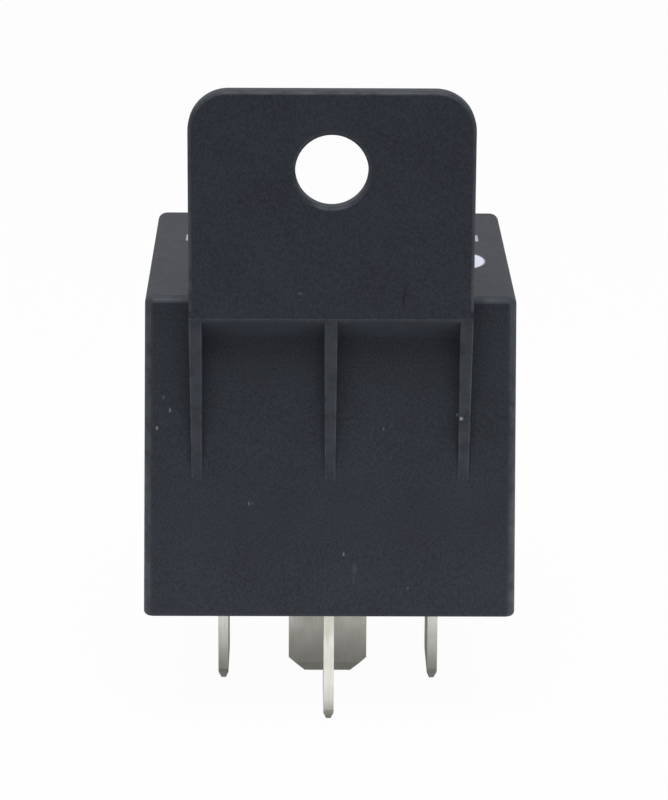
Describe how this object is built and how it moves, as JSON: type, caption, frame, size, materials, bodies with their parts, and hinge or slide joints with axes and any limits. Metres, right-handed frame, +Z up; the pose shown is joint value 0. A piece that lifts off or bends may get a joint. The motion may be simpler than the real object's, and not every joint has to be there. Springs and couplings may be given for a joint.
{
  "type": "automotive relay",
  "caption": "Plug-in changeover relay with blade terminals, a black moulded cover and a moulded mounting bracket with a screw hole.",
  "frame": {"origin": "the middle of the cover's open rim, the plane that faces the socket", "axes": "+X across the bracket, -Y out of the bracket's face, +Z up, from the terminals to the bracket"},
  "size_m": [0.0286, 0.0309, 0.0513],
  "materials": {
    "cover_plastic": "fine-textured glass-filled black moulding, slightly blue",
    "base_plastic": "smooth black moulding",
    "terminal_metal": "tin-plated brass strip with stamped edges",
    "soft_iron": "zinc-plated soft iron",
    "bobbin_plastic": "natural nylon",
    "copper_wire": "enamelled copper",
    "resistor_body": "lacquered body with tinned leads",
    "contact_silver": "silver alloy",
    "spring_bronze": "rolled bronze strip"
  },
  "bodies": {
    "relay": {"cover": "cover_plastic", "base": "base_plastic", "terminal_30": "terminal_metal", "terminal_85": "terminal_metal", "terminal_86": "terminal_metal", "terminal_87": "terminal_metal", "terminal_87a": "terminal_metal", "yoke": "soft_iron", "core": "soft_iron", "bobbin": "bobbin_plastic", "winding": "copper_wire", "coil_lead_start": "copper_wire", "coil_lead_finish": "copper_wire", "resistor": "resistor_body", "no_contact": "contact_silver", "nc_contact": "contact_silver", "return_spring": "soft_iron", "braid": "copper_wire"},
    "armature": {"armature": "soft_iron", "contact_spring": "spring_bronze", "armature_rivets": "soft_iron", "moving_contact": "contact_silver"}
  },
  "joints": [
    {"name": "armature_hinge", "type": "hinge", "parent": "relay", "child": "armature", "pos_m": [0, -0.00995, 0.0182], "axis": [1, 0, 0], "range_deg": [-3, 0], "stiffness_Nm_per_rad": 0.02, "springref_deg": 17.19, "deforming": ["return_spring", "braid"]}
  ]
}
